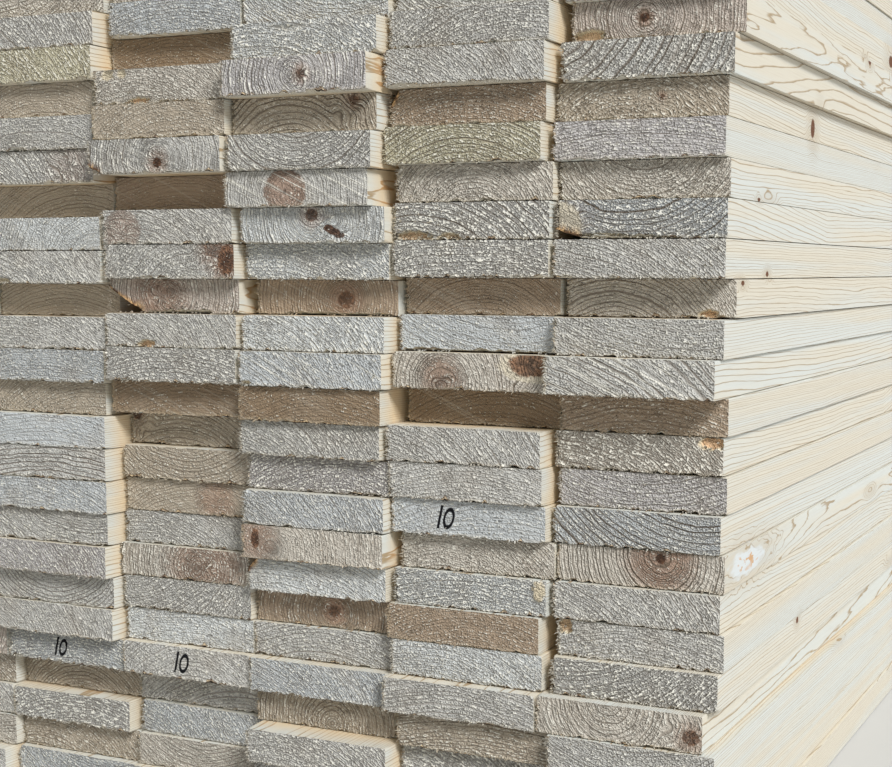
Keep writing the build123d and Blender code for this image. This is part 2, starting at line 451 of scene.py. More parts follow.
@dataclass
class BoardBlank:
    """The plain board that every board is shaped from, modelled once, in metres.

    Args:
        width: Its width.
        height: Its thickness.
        length: Its length.
        front_cells: The cells across and up its front end.
        back_cells: The cells across and up its back end.
        ring_cells: The cells across and up between the ends.
        front_rim: How far the front end's outline is pulled along the board, step by step.
        back_rim: The same for the back end.
        collar: How far from each end the plain length begins.
        stations: How many stretches the plain length is divided into.
        round_off: Faces that turn by less than this look smooth, in degrees.
    """

    width: float = 0.184
    height: float = 0.0395
    length: float = 3.048
    front_cells: tuple[int, int] = (72, 24)
    back_cells: tuple[int, int] = (24, 5)
    ring_cells: tuple[int, int] = (8, 2)
    front_rim: tuple[float, ...] = (0.0022, 0.0060)
    back_rim: tuple[float, ...] = (-0.0040,)
    collar: float = 0.030
    stations: int = 8
    round_off: float = 40.0

    def grid(self, cells: tuple[int, int], y: float, facing: int) -> bpy.types.Object:
        """Adds an upright grid as large as the board's end.

        Args:
            cells: Cells across and up.
            y: How far along the board it stands.
            facing: -1 for the front and 1 for the back.

        Returns:
            The grid, with its size and place in its mesh.
        """
        deselect()
        bpy.ops.mesh.primitive_grid_add(
            x_subdivisions=cells[0],
            y_subdivisions=cells[1],
            size=1.0,
            location=(0, y, 0),
            rotation=(-facing * math.pi / 2, 0, 0),
        )
        piece = bpy.context.object
        settle()
        bpy.ops.transform.resize(value=(self.width, 1.0, self.height), center_override=(0, 0, 0))
        settle()
        return piece

    def pull_edge(self, steps: tuple[float, ...]) -> None:
        """Extrudes the newest grid's outline along the board.

        Args:
            steps: How far each step goes.
        """
        edit()
        bpy.ops.mesh.select_all(action="SELECT")
        bpy.ops.mesh.region_to_loop()
        for step in steps:
            bpy.ops.mesh.extrude_edges_move(TRANSFORM_OT_translate={"value": (0, step, 0)})
        edit(False)

    def open_tube(self, tube: bpy.types.Object) -> None:
        """Deletes the faces that close one end of the plain length.

        Args:
            tube: The plain length.
        """
        edit()
        bpy.ops.mesh.select_all(action="DESELECT")
        edit(False)
        for face in tube.data.polygons:
            face.select = abs(face.normal.y) > 0.5
        edit()
        bpy.ops.mesh.select_mode(type="FACE")
        bpy.ops.mesh.delete(type="ONLY_FACE")
        bpy.ops.mesh.select_mode(type="EDGE")
        bpy.ops.mesh.select_all(action="SELECT")
        bpy.ops.mesh.delete_loose(use_verts=True, use_edges=True, use_faces=False)
        edit(False)

    def bridge(self, piece: bpy.types.Object, low: float, high: float) -> None:
        """Bridges the two open outlines that lie between two places along the board.

        Args:
            piece: The board.
            low: The place before the first outline.
            high: The place past the second one.
        """
        edit()
        bpy.ops.mesh.select_mode(type="EDGE")
        bpy.ops.mesh.select_all(action="DESELECT")
        bpy.ops.mesh.select_non_manifold(extend=False, use_wire=False, use_multi_face=False,
                                         use_non_contiguous=False, use_verts=False)
        edit(False)
        mesh = piece.data
        for edge in mesh.edges:
            y = mesh.vertices[edge.vertices[0]].co.y
            edge.select = edge.select and low < y < high
        for vertex in mesh.vertices:
            vertex.select = False
        edit()
        bpy.ops.mesh.bridge_edge_loops()
        edit(False)

    def make(self) -> bpy.types.Object:
        """Models the blank: two sawn ends, and a plain length bridged between them.

        Returns:
            The blank, centred on its width and thickness, with its front end at y 0.
        """
        front = self.grid(self.front_cells, 0.0, -1)
        self.pull_edge(self.front_rim)
        back = self.grid(self.back_cells, self.length, 1)
        self.pull_edge(self.back_rim)
        tube = self.grid(self.ring_cells, self.collar, -1)
        self.pull_edge(((self.length - 2 * self.collar) / self.stations,) * self.stations)
        self.open_tube(tube)
        deselect()
        for piece in (back, tube, front):
            piece.select_set(True)
        bpy.context.view_layer.objects.active = front
        bpy.ops.object.join()
        middle = self.length / 2
        self.bridge(front, 0.0, middle)
        self.bridge(front, middle, self.length)
        edit()
        bpy.ops.mesh.select_all(action="SELECT")
        bpy.ops.mesh.normals_make_consistent(inside=False)
        edit(False)
        bpy.ops.object.shade_smooth_by_angle(angle=math.radians(self.round_off))
        front.name = "board_blank"
        return front


@dataclass
class Board:
    """One board of the stack, shaped from the blank, in millimetres.

    Args:
        blank: The sizes of the blank, in metres.
        start: The blank's vertices, one in each row.
        box: Where the board lies, in metres.
        corner: The radius of its eased long edges.
        tear: How deep its left and lower edges are torn at most.
        seat: How far above the underside of its solid it lies.
        hair: What is nearer than this to the plane of an end is on it.
        turns: How often its bow and its pith change direction along it, about.
    """

    blank: BoardBlank
    start: np.ndarray
    box: BoardBox
    corner: float = 1.0
    tear: float = 3.6
    seat: float = 0.25
    hair: float = 0.01
    turns: int = 9

    def __post_init__(self) -> None:
        """Measures the board, and reads the noise that its ends are torn by."""
        box, blank, start = self.box, self.blank, self.start
        self.seed = box.row * len(COLUMNS) + COLUMNS.index(box.column) + 11
        self.grain = Grain(*ENDS[box.column][box.row])
        self.noise = Lattice(self.seed)
        self.length = blank.length / MM
        # The seed gives each board a share of its own, from 0.5 to 1.6
        thinner = self.grain.thin * (0.5 + (self.seed * 29 % 17) / 14.0)
        height = (box.high.z - box.low.z) / MM - thinner
        half_w, half_h = self.half = (blank.width / MM / 2, height / 2)
        self.middle = ((box.low.x + box.high.x) / 2 / MM, box.low.z / MM + self.seat + half_h)
        self.front = box.low.y / MM
        self.x, self.y = start[:, 0], start[:, 1]
        self.z = start[:, 2] * height / (blank.height / MM)
        self.at_front, self.at_back = self.y < self.hair, self.y > self.length - self.hair
        flat = side_by_side(self.x, self.z, 0.0)
        self.fine = self.noise.at(flat * (0.42, 0.42, 1) + 7.7)
        self.wide = self.noise.at(flat * (0.13, 0.13, 1) + 31.3)
        self.left = smooth(7.0, 0.0, self.x + half_w)
        self.lower = smooth(5.0, 0.0, self.z + half_h)
        self.bite = np.clip(self.wide * 1.5 - 0.15, 0, 1) + np.clip(self.fine * 1.1, 0, 1) * 0.7
        self.along = np.clip(self.y / self.length, 0, 1) * self.turns

    def own(self, marks: list) -> list:
        """Gives the marks of a list that are on this board."""
        return [m for m in marks if (m.column, m.row) == (self.box.column, self.box.row)]

    def section(self) -> tuple[np.ndarray, np.ndarray, np.ndarray]:
        """Eases the long edges of the cross-section, and cuts the board's wane.

        Returns:
            The new places across and up, and how much of each is wane.
        """
        (half_w, half_h), r = self.half, self.corner
        a = np.clip(np.abs(self.x) - (half_w - r), 0, None)
        b = np.clip(np.abs(self.z) - (half_h - r), 0, None)
        far = np.maximum(np.hypot(a, b), 1e-9)
        ease = np.where((a > 0) & (b > 0), np.maximum(a, b) / far, 1.0)
        u = np.sign(self.x) * (np.minimum(np.abs(self.x), half_w - r) + a * ease)
        v = np.sign(self.z) * (np.minimum(np.abs(self.z), half_h - r) + b * ease)
        bark = np.zeros(len(u))
        for wane in self.own(WANES):
            up = wane.edge.value
            inward = np.clip(1.0 - (u + half_w) / wane.across, 0.0, 1.0)
            t = (half_h - up * v) / (2 * half_h)
            v = v - up * (wane.along * inward**1.25) * (1.0 - t)
            bark = smooth(0.35, 0.0, t) * smooth(0.0, 0.2, inward)
        return u, v, bark

    def tear_edges(self, u: np.ndarray, v: np.ndarray) -> tuple[np.ndarray, np.ndarray]:
        """Tears the edges of both ends, the left and lower ones most.

        Args:
            u: Places across.
            v: Places up.

        Returns:
            The new places across and up.
        """
        half_w, half_h = self.half
        near = np.select((self.at_front, self.y < 4, self.y < 20), (1.0, 0.85, 0.35), 0.0)
        upper = smooth(4.0, 0.0, half_h - self.z)
        right = smooth(4.0, 0.0, half_w - self.x)
        force = self.tear * (0.55 + 0.85 * self.grain.fuzz)
        u = u + near * self.left * self.bite * force * 0.6
        u = u - near * right * np.clip(self.fine, 0, 1) * 0.5
        for gap in self.own(GAPS):
            window = smooth(gap.low, gap.low + 12, self.x) * smooth(gap.high, gap.high - 12, self.x)
            v = v + near * self.lower * window * gap.lift
        v = v + near * self.lower * self.bite * force * 0.75
        v = v - near * upper * np.clip(self.wide, 0, 1) * 0.6
        comb = self.noise.at(side_by_side(self.z * 0.55, self.x * 0.05, 5.5))
        edge = smooth(3.5, 0.0, self.x + half_w)
        u = u + near * edge * np.clip(comb + 0.25, 0, 1) * (2.4 + 6.8 * self.grain.fuzz)
        return u, v

    def roughen_ends(self, u: np.ndarray) -> tuple[np.ndarray, np.ndarray]:
        """Roughens both ends, tilts the front one and breaks its chips out.

        Args:
            u: Places across.

        Returns:
            The new places along the board, and how much of each is chipped.
        """
        half_w, half_h = self.half
        relief = self.fine * (0.15 + 0.60 * self.grain.fuzz) + self.wide * 0.5
        ridge = np.sin(self.x * 0.32 + self.z * 0.62 + self.wide * 2.0)
        relief = relief + ridge * 0.35 * self.grain.saw
        tuft = np.clip(self.fine + 0.2, 0, 1) * np.maximum(self.left, self.lower)
        tuft = tuft * (1.0 + 2.0 * self.grain.fuzz)
        tilt = self.noise.corner(np.array([[3, 5, 7]]))[0] * 0.8 * u / half_w
        inner = np.minimum(smooth(0.0, 3.0, half_w - np.abs(self.x)),
                           smooth(0.0, 2.0, half_h - np.abs(self.z)))
        y = self.y + np.where(self.at_front, tilt - relief * (0.3 + 0.7 * inner) - tuft, 0.0)
        y = y + np.where(self.at_back, relief * 0.8, 0.0)
        chipped = np.zeros(len(u))
        for chip in self.own(CHIPS):
            off = np.hypot((self.x - chip.x) / chip.half_width,
                           (self.z - chip.z) / chip.half_height)
            amount = smooth(1.15, 0.75, off + self.fine * 0.35)
            y = y + np.where(self.at_front, amount * (chip.depth + self.fine * 1.2), 0.0)
            chipped = np.maximum(chipped, np.where(self.at_front, amount * chip.warm, 0.0))
        return y, chipped

    def sway(self) -> np.ndarray:
        """Bows the board a little sideways between its ends.

        Returns:
            How far each place moves to the right.
        """
        stops = np.arange(self.turns + 1)
        bends = self.noise.at(side_by_side(stops * 0.9, 2.5, self.seed % 97))
        sway = np.interp(self.along, stops, bends) * smooth(0.0, 300.0, self.y)
        return sway * smooth(0.0, 300.0, self.length - self.y) * 0.5

    def knots(self, far: np.ndarray) -> tuple[np.ndarray, np.ndarray, np.ndarray]:
        """Sets the end's knots and hearts, and marks the faces that no weather reached.

        Args:
            far: Which places are on the far half of the board.

        Returns:
            The values knot and heart, and how far each place is from a heart.
        """
        knot = np.full((len(far), 3), NO_KNOT)
        heart = np.zeros((len(far), 3))
        around = np.full(len(far), NOWHERE)
        for spot in self.own(KNOTS):
            across, rise = self.x - spot.x, self.z - spot.z
            ratio = np.hypot(across / spot.radius, rise / (spot.radius * spot.flat))
            nearer = ratio < knot[:, 1]
            found = side_by_side(np.hypot(across, rise * 1.15), ratio, spot.dark)
            knot[nearer] = found[nearer]
            heart[nearer, :2] = (spot.blush, spot.collar)
            reach = spot.spread or 2.2 * spot.radius
            around = np.minimum(around, np.hypot(across, rise) / reach)
        knot[far], around[far] = NO_KNOT, NOWHERE
        half_w, half_h = self.half
        outer = np.zeros(len(far), bool)
        if self.box.column == COLUMNS[-1]:
            outer |= self.x > 0.9 * half_w
        if self.box.column == COLUMNS[0]:
            outer |= self.x < -0.9 * half_w
        if self.box.row == 0:
            outer |= self.z > 0.9 * half_h
        heart[:, 2] = np.where(outer, 0.0, smooth(4.0, 45.0, self.y))
        return knot, heart, around

    def pith(self) -> np.ndarray:
        """Lets the log's pith drift along the board.

        Returns:
            Where the pith is across and up, and how far apart the rings are.
        """
        fade = smooth(0.0, 350.0, self.y)
        drift = [self.noise.at(side_by_side(self.along * 0.55, k + 0.5, 0.0)) for k in (3, 9)]
        return side_by_side(self.middle[0] + self.grain.pith_x + drift[0] * 30.0 * fade,
                            self.middle[1] + self.grain.pith_z + drift[1] * 26.0 * fade,
                            self.grain.spacing)

    def shape(self) -> tuple[np.ndarray, dict[str, np.ndarray]]:
        """Shapes the board.

        Returns:
            Its vertices in metres, and the values that its finish reads, by name.
        """
        (half_w, half_h), grain, count = self.half, self.grain, len(self.x)
        u, v, bark = self.section()
        u, v = self.tear_edges(u, v)
        y, chipped = self.roughen_ends(u)
        u = u + self.sway()
        real_length = (self.box.high.y - self.box.low.y) / MM
        y = self.front + y * real_length / self.length
        torn = np.maximum(self.left, self.lower) * (0.4 + 0.6 * np.clip(self.bite, 0, 1))
        far = y > self.front + real_length / 2
        knot, heart, around = self.knots(far)
        number = np.full((count, 3), NOWHERE)
        for pen in self.own(NUMBERS):
            number = side_by_side((self.x - pen.x) / pen.height, (self.z - pen.z) / pen.height, 0.0)
        number[far] = NOWHERE
        # The seed gives the finishes a number from 0 to 1 that sets each board's pattern apart
        apart = (self.seed * 37 % 101) / 101.0
        values = {
            "pith": self.pith(),
            "habit": np.tile((grain.line, grain.fuzz, grain.saw), (count, 1)),
            "tone": np.tile(grain.tone.value, (count, 1)),
            "knot": knot,
            "heart": heart,
            "rim": side_by_side(self.x + half_w, self.z + half_h, 0.0),
            "chip": side_by_side(chipped, around, math.hypot(grain.pith_x, grain.pith_z)),
            "number": number,
            "wear": side_by_side(np.where(self.at_front, torn, 0.0), bark, apart),
        }
        return side_by_side(self.middle[0] + u, y, self.middle[1] + v) * MM, values


@dataclass
class Fringe:
    """The splinters and tufts that the saw left on an end and along its torn edges.

    Args:
        on_left: How many stand on the left edge of the furriest end.
        on_lower: How many hang along its lower edge.
        on_face: How many stand on its face.
        root: How deep in the wood each one starts, in millimetres.
        above_floor: How far above the floor all of them stay, in millimetres.
    """

    on_left: int = 52
    on_lower: int = 46
    on_face: int = 60
    root: float = 0.9
    above_floor: float = 0.1

    def splinter(self) -> Spike:
        """Models one splinter, a thin three-sided spike one unit long.

        Returns:
            Its vertices and its faces.
        """
        deselect()
        bpy.ops.mesh.primitive_cone_add(vertices=3, radius1=1.0, radius2=0.0, depth=1.0,
                                        end_fill_type="TRIFAN", location=(0, 0, 0.5))
        spike = bpy.context.object
        settle()
        places = np.array([vertex.co[:] for vertex in spike.data.vertices])
        faces = [list(face.vertices) for face in spike.data.polygons]
        bpy.data.objects.remove(spike)
        return places, faces

    def grow(self, spike: Spike, board: Board) -> Spike:
        """Sets splinters on one board.

        Args:
            spike: The vertices and faces of one splinter.
            board: The board.

        Returns:
            The vertices of all its splinters in millimetres, and their faces.
        """
        pick = np.random.default_rng(board.seed).uniform
        half_w, half_h = board.half
        share = 0.25 + 0.75 * board.grain.fuzz
        counts = [int(count * share) for count in (self.on_left, self.on_lower, self.on_face)]
        total = sum(counts)
        at_left, at_lower, at_face = np.repeat(np.eye(3, dtype=bool), counts, axis=1)
        across = pick(-half_w + 3, half_w - 4, total)
        up = pick(-half_h + 2, half_h - 2, total)
        root_x = np.where(at_left, -half_w + pick(1.5, 3.5, total), across)
        root_z = np.where(at_lower, -half_h + pick(0.8, 2.0, total), up)
        lean = side_by_side(np.where(at_left, pick(-1.3, -0.3, total), pick(-0.7, 0.4, total)),
                            -1.0,
                            np.where(at_lower, pick(-0.9, -0.1, total), pick(-0.8, 0.3, total)))
        lean /= np.linalg.norm(lean, axis=1)[:, None]
        long = np.where(at_face, pick(1.0, 2.4, total), 1.6 + 4.2 * pick(0, 1, total) ** 3)
        thick = pick(0.55, 1.25, total)[:, None, None]
        side = np.cross(lean, (0.0, 0.0, 1.0))
        side /= np.linalg.norm(side, axis=1)[:, None]
        third = np.cross(lean, side)
        places, faces = spike
        root = side_by_side(board.middle[0] + root_x, board.front + self.root,
                            board.middle[1] + root_z)
        every = (root[:, None, :]
                 + places[None, :, 0, None] * side[:, None, :] * thick * 1.4
                 + places[None, :, 1, None] * third[:, None, :] * thick
                 + places[None, :, 2, None] * lean[:, None, :] * (long + self.root)[:, None, None])
        every[:, :, 2] = np.maximum(every[:, :, 2], self.above_floor)
        polygons = [[v + i * len(places) for v in face] for i in range(total) for face in faces]
        return every.reshape(-1, 3), polygons


@dataclass
class Chart:
    """A node tree, with short ways to add and wire the nodes that wood needs.

    Args:
        tree: The tree to draw in.
    """

    tree: bpy.types.NodeTree

    def add(self, kind: str, **settings: object) -> bpy.types.Node:
        """Adds a node.

        Args:
            kind: The node's type.
            settings: Its properties.

        Returns:
            The node.
        """
        node = self.tree.nodes.new(kind)
        for name, value in settings.items():
            setattr(node, name, value)
        return node

    def feed(self, sockets: object, *values: object) -> None:
        """Wires a node's sockets to others, or sets them to values.

        Args:
            sockets: The node's inputs, from the first on, or one socket.
            values: What each one gets.
        """
        if isinstance(sockets, Socket):
            sockets = [sockets]
        for socket, value in zip(sockets, values):
            if isinstance(value, Socket):
                self.tree.links.new(value, socket)
            else:
                socket.default_value = value

    def math(self, operation: str, *values: object) -> Socket:
        """Adds a Math node.

        Args:
            operation: What it does.
            values: What it works on, up to three.

        Returns:
            Its result.
        """
        node = self.add("ShaderNodeMath", operation=operation)
        self.feed(node.inputs, *values)
        return node.outputs[0]

    def times(self, a: object, b: object) -> Socket:
        """Multiplies two numbers."""
        return self.math("MULTIPLY", a, b)

    def plus(self, a: object, b: object) -> Socket:
        """Adds two numbers."""
        return self.math("ADD", a, b)

    def less(self, a: object, b: object) -> Socket:
        """Takes the second number from the first."""
        return self.math("SUBTRACT", a, b)

    def larger(self, a: object, b: object) -> Socket:
        """Gives the larger of two numbers."""
        return self.math("MAXIMUM", a, b)

    def far(self, a: object, b: object) -> Socket:
        """Gives how far the place (a, b) is from (0, 0)."""
        return self.math("SQRT", self.plus(self.times(a, a), self.times(b, b)))

    def oval(self, place: tuple, middle: tuple, half: tuple) -> Socket:
        """Gives how far a place is from an oval's middle, as 1 on the oval.

        Args:
            place: The place, as two numbers.
            middle: The oval's middle.
            half: Half its length and half its height.

        Returns:
            How far off the place is.
        """
        off = [self.math("DIVIDE", self.less(p, m), h) for p, m, h in zip(place, middle, half)]
        return self.far(*off)

    def vector(self, operation: str, a: object, b: object) -> Socket:
        """Adds a Vector Math node.

        Args:
            operation: What it does.
            a: The first vector.
            b: The second one.

        Returns:
            Its vector.
        """
        node = self.add("ShaderNodeVectorMath", operation=operation)
        self.feed(node.inputs, a, b)
        return node.outputs[0]

    def noise(self, place: object, scale: object, detail: float = 2.0,
              rough: float = 0.5) -> Socket:
        """Adds a Noise Texture.

        Args:
            place: The places to read it at.
            scale: How fine it is: one number, or one for each way.
            detail: How many finer layers it has.
            rough: How strong they are.

        Returns:
            Its value.
        """
        if isinstance(scale, tuple):
            place, scale = self.vector("MULTIPLY", place, scale), 1.0
        node = self.add("ShaderNodeTexNoise")
        self.feed(node.inputs["Vector"], place)
        for name, value in (("Scale", scale), ("Detail", detail), ("Roughness", rough)):
            node.inputs[name].default_value = value
        return node.outputs["Fac"]

    def ease(self, value: object, low: float, high: float, to_low: float = 0.0,
             to_high: float = 1.0) -> Socket:
        """Maps a value smoothly from one range to another.

        Args:
            value: The value.
            low: Where the first range begins.
            high: Where it ends.
            to_low: Where the second range begins.
            to_high: Where it ends.

        Returns:
            The mapped value.
        """
        node = self.add("ShaderNodeMapRange", interpolation_type="SMOOTHSTEP")
        self.feed(node.inputs, value, low, high, to_low, to_high)
        return node.outputs[0]

    def mix(self, factor: object, a: object, b: object) -> Socket:
        """Mixes two colours.

        Args:
            factor: How much of the second one shows.
            a: The first colour.
            b: The second colour.

        Returns:
            The mixed colour.
        """
        node = self.add("ShaderNodeMix", data_type="RGBA", clamp_factor=True)
        self.feed((node.inputs[0], node.inputs[6], node.inputs[7]), factor, a, b)
        return node.outputs[2]

    def coat(self, base: object, *coats: tuple) -> Socket:
        """Lays colours over each other.

        Args:
            base: The lowest colour.
            coats: For each coat its mask, how much of it shows there, and its colour.

        Returns:
            The finished colour.
        """
        for mask, share, tint in coats:
            base = self.mix(self.times(mask, share), base, tint)
        return base

    def split(self, vector: object) -> list[Socket]:
        """Splits a vector into its three numbers.

        Args:
            vector: The vector.

        Returns:
            Its numbers.
        """
        node = self.add("ShaderNodeSeparateXYZ")
        self.feed(node.inputs, vector)
        return list(node.outputs)

    def join(self, x: object, y: object, z: object) -> Socket:
        """Joins three numbers into a vector.

        Args:
            x: The first number.
            y: The second one.
            z: The third one.

        Returns:
            The vector.
        """
        node = self.add("ShaderNodeCombineXYZ")
        self.feed(node.inputs, x, y, z)
        return node.outputs[0]

    def stored(self, name: str) -> Socket:
        """Reads three numbers that the board's mesh stores."""
        return self.add("ShaderNodeAttribute", attribute_name=name).outputs["Vector"]


def colour(red: float, green: float, blue: float) -> tuple[float, ...]:
    """Gives a colour as the renderer wants it, from the values that a screen shows."""
    return tuple(c / 12.92 if c <= 0.04045 else ((c + 0.055) / 1.055) ** 2.4
                 for c in (red, green, blue)) + (1.0,)


@dataclass(frozen=True)
class GrowthRings:
    """The rings of the log, round a pith line that each board stores.

    Args:
        waver: How far the rings stray from a circle, in millimetres.
        swell: How strongly they bend round a knot.
    """

    waver: float = 8.0
    swell: float = -0.8

    def build(self) -> bpy.types.NodeTree:
        """Draws the group once.

        Returns:
            The group. It puts out the dark late wood, the ring's count, and how far a place is
            across the rings and along them.
        """
        tree = bpy.data.node_groups.new("growth rings", "ShaderNodeTree")
        for label, kind in (("Place", "Vector"), ("Pith", "Vector"), ("Knot", "Float"),
                            ("Seed", "Float"), ("Pith distance", "Float")):
            tree.interface.new_socket(label, in_out="INPUT", socket_type=f"NodeSocket{kind}")
        for label in ("Late wood", "Ring", "Across", "Along"):
            tree.interface.new_socket(label, in_out="OUTPUT", socket_type="NodeSocketFloat")
        c = Chart(tree)
        given = c.add("NodeGroupInput").outputs
        x, _, z = c.split(given["Place"])
        pith_x, pith_z, spacing = c.split(given["Pith"])
        loose = c.noise(given["Place"], (0.022, 0.0035, 0.03))
        tight = c.noise(given["Place"], (0.11, 0.012, 0.13), 2.0, 0.6)
        waver = c.plus(c.less(loose, 0.5), c.times(c.less(tight, 0.5), 0.22))
        dx, dz = c.less(x, pith_x), c.less(z, pith_z)
        across = c.plus(c.far(dx, dz), c.times(waver, self.waver))
        round_knot = c.ease(given["Knot"], 6.0, 34.0, 1.0, 0.0)
        across = c.plus(across, c.times(round_knot, c.times(given["Knot"], self.swell)))
        ring = c.math("DIVIDE", across, spacing)
        uneven = c.noise(c.join(c.times(ring, 0.45), given["Seed"], 0.0), 1.0, 1.0)
        ring = c.plus(ring, c.times(uneven, 1.6))
        part = c.math("FRACT", ring)
        late = c.times(c.ease(part, 0.64, 0.87), c.ease(part, 1.0, 0.94))
        strength = c.noise(c.join(c.times(ring, 0.9), given["Seed"], 3.0), 1.0, 0.0)
        late = c.times(late, c.ease(strength, 0.25, 0.65, 0.45, 1.0))
        along = c.times(c.math("ARCTAN2", dz, dx), c.larger(given["Pith distance"], 12.0))
        c.feed(c.add("NodeGroupOutput").inputs, late, ring, across, along)
        return tree


@dataclass(frozen=True)
class Finish:
    """What both finishes of the boards share.

    Args:
        specular: How much light the surface mirrors.
        relief: How strongly its bump shows.
        depth: How deep that bump is, in metres.
    """

    specular: float
    relief: float
    depth: float

    def start(self, name: str) -> tuple:
        """Starts a material.

        Args:
            name: Its name.

        Returns:
            The material, its chart and the places on the stack in millimetres.
        """
        material = bpy.data.materials.new(name)
        material.use_nodes = True
        c = Chart(material.node_tree)
        place = c.vector("SCALE", c.add("ShaderNodeTexCoord").outputs["Object"], (0, 0, 0))
        place.node.inputs["Scale"].default_value = 1.0 / MM
        return material, c, place

    def end(self, c: Chart, base: object, roughness: object, height: object) -> None:
        """Wires the material's colour, roughness and bump.

        Args:
            c: The material's chart.
            base: Its colour.
            roughness: Its roughness.
            height: The height of its bump.
        """
        shader = c.tree.nodes["Principled BSDF"]
        bump = c.add("ShaderNodeBump")
        for node, name, value in (
            (bump, "Strength", self.relief),
            (bump, "Distance", self.depth),
            (bump, "Height", height),
            (shader, "Base Color", base),
            (shader, "Roughness", roughness),
            (shader, "Specular IOR Level", self.specular),
            (shader, "Normal", bump.outputs[0]),
        ):
            c.feed(node.inputs[name], value)


@dataclass(frozen=True)
class SawnEnd(Finish):
    """The rough cut across the fibres: grey, furry, and streaked by the saw.

    Args:
        rough: How matt it is.
        deepen: How much deeper its colours are than the stored tones.

    Each colour is named for what it paints.
    """

    specular: float = 0.2
    relief: float = 1.0
    depth: float = 0.0025
    rough: float = 0.88
    deepen: float = 1.76
    cloud_colour: tuple = colour(0.66, 0.61, 0.54)
    line_colour: tuple = colour(0.37, 0.32, 0.265)
    # Painted shade in the fibre's hollows, and a near-white that is partly pale fibre and partly
    # painted highlight
    pit_shade_colour: tuple = colour(0.30, 0.25, 0.19)
    tuft_highlight_colour: tuple = colour(1.00, 0.988, 0.935)
    torn_colour: tuple = colour(0.88, 0.83, 0.72)
    collar_colour: tuple = colour(0.86, 0.82, 0.73)
    heart_colour: tuple = colour(0.60, 0.44, 0.33)
    break_colour: tuple = colour(0.86, 0.76, 0.60)
    hollow_colour: tuple = colour(0.42, 0.28, 0.17)
    # Painted shadow in the gap under the broken lower edge
    gap_shadow_colour: tuple = colour(0.13, 0.09, 0.06)
    blush_colour: tuple = colour(0.63, 0.51, 0.43)
    knot_colour: tuple = colour(0.28, 0.185, 0.13)
    bark_colour: tuple = colour(0.86, 0.70, 0.50)
    chip_colour: tuple = colour(0.93, 0.78, 0.62)
    ink_colour: tuple = colour(0.06, 0.065, 0.08)

    def torn_fibre(self, c: Chart, rings: bpy.types.Node, flat: Socket, seed: Socket) -> Socket:
        """Scatters torn fibre: rows of tufts along the rings, and grit between them.

        Args:
            c: The chart to draw in.
            rings: The growth rings' group node.
            flat: Places on the end, in millimetres.
            seed: The number that sets the board apart.

        Returns:
            How far the fibre stands up, from about -1 in a hollow to 1 on a tuft.
        """
        apart = c.times(seed, 70.0)
        whole = 0.0
        for along, across, share in ((0.17, 0.58, 0.26), (0.48, 0.60, 0.34)):
            rows = c.join(c.times(rings.outputs["Along"], along),
                          c.times(rings.outputs["Across"], across), apart)
            whole = c.math("MULTIPLY_ADD", c.noise(rows, 1.0, 0.0), share, whole)
        turned = c.add("ShaderNodeVectorRotate", rotation_type="Y_AXIS")
        c.feed(turned.inputs["Vector"], flat)
        turned.inputs["Angle"].default_value = math.radians(-28)
        saw_marks = c.noise(turned.outputs[0], (0.12, 1.0, 0.60), 0.0)
        whole = c.math("MULTIPLY_ADD", saw_marks, 0.15, whole)
        whole = c.math("MULTIPLY_ADD", c.noise(flat, 0.62, 0.0), 0.25, whole)
        return c.times(c.less(whole, 0.5), 18.0)

    def streaks(self, c: Chart, place: Socket, saw: Socket, seed: Socket) -> Socket:
        """Draws the wide, slightly bent streaks that a saw blade leaves.

        Args:
            c: The chart to draw in.
            place: Places on the stack, in millimetres.
            saw: How plainly the saw's marks show.
            seed: The number that sets the board apart.

        Returns:
            The mask of the streaks.
        """
        x, _, z = c.split(place)
        swing = c.far(c.less(x, c.times(seed, 900.0)), c.plus(z, 420.0))
        slant = c.times(c.plus(c.times(x, 0.42), c.times(z, 0.9)), 0.33)
        streak = c.noise(c.join(slant, c.times(swing, 0.006), seed), 1.0, 2.0, 0.6)
        return c.times(c.ease(streak, 0.56, 0.64), c.times(saw, saw))

    def broken_edge(self, c: Chart, seed: Socket) -> tuple:
        """Breaks small crescents out of the lower edge, and teeth out of the left one, with painted
        shadow under the crescents.

        Args:
            c: The chart to draw in.
            seed: The number that sets the board apart.

        Returns:
            The mask of the broken wood, and of the painted shadow in the gap under it.
        """
        from_left, from_lower, _ = c.split(c.stored("rim"))
        shift = c.times(seed, 500.0)
        chance = c.noise(c.join(c.times(from_left, 0.075), shift, 0.0), 1.0, 2.0, 0.55)
        tall = c.ease(chance, 0.52, 0.80, 0.0, 6.0)
        lower = c.ease(c.less(from_lower, tall), 0.5, -0.3)
        chance = c.noise(c.join(shift, c.times(from_lower, 0.36), 7.0), 1.0, 2.0, 0.6)
        wide = c.ease(chance, 0.42, 0.72, 0.0, 4.5)
        left = c.ease(c.less(from_left, wide), 0.4, -0.4)
        # Painted shadow: the gap under each broken crescent is painted near black
        under = c.ease(c.less(from_lower, c.times(tall, 0.35)), 0.3, -0.3)
        return c.larger(lower, c.times(left, 0.7)), under

    def number(self, c: Chart) -> Socket:
        """Draws a one and a nought in pen, on the ends that store a place for them.

        Args:
            c: The chart to draw in.

        Returns:
            1 on the ink and 0 off it.
        """
        x, y, _ = c.split(c.stored("number"))
        lean = c.less(x, c.times(y, 0.22))
        one = c.math("ABSOLUTE", c.plus(lean, 0.30))
        one = c.larger(one, c.less(c.math("ABSOLUTE", y), 0.42))
        one = c.ease(one, 0.045, 0.072, 1.0, 0.0)
        ring = c.oval((lean, y), (0.10, -0.04), (0.20, 0.36))
        nought = c.ease(c.math("ABSOLUTE", c.less(ring, 1.0)), 0.19, 0.31, 1.0, 0.0)
        return c.larger(one, nought)

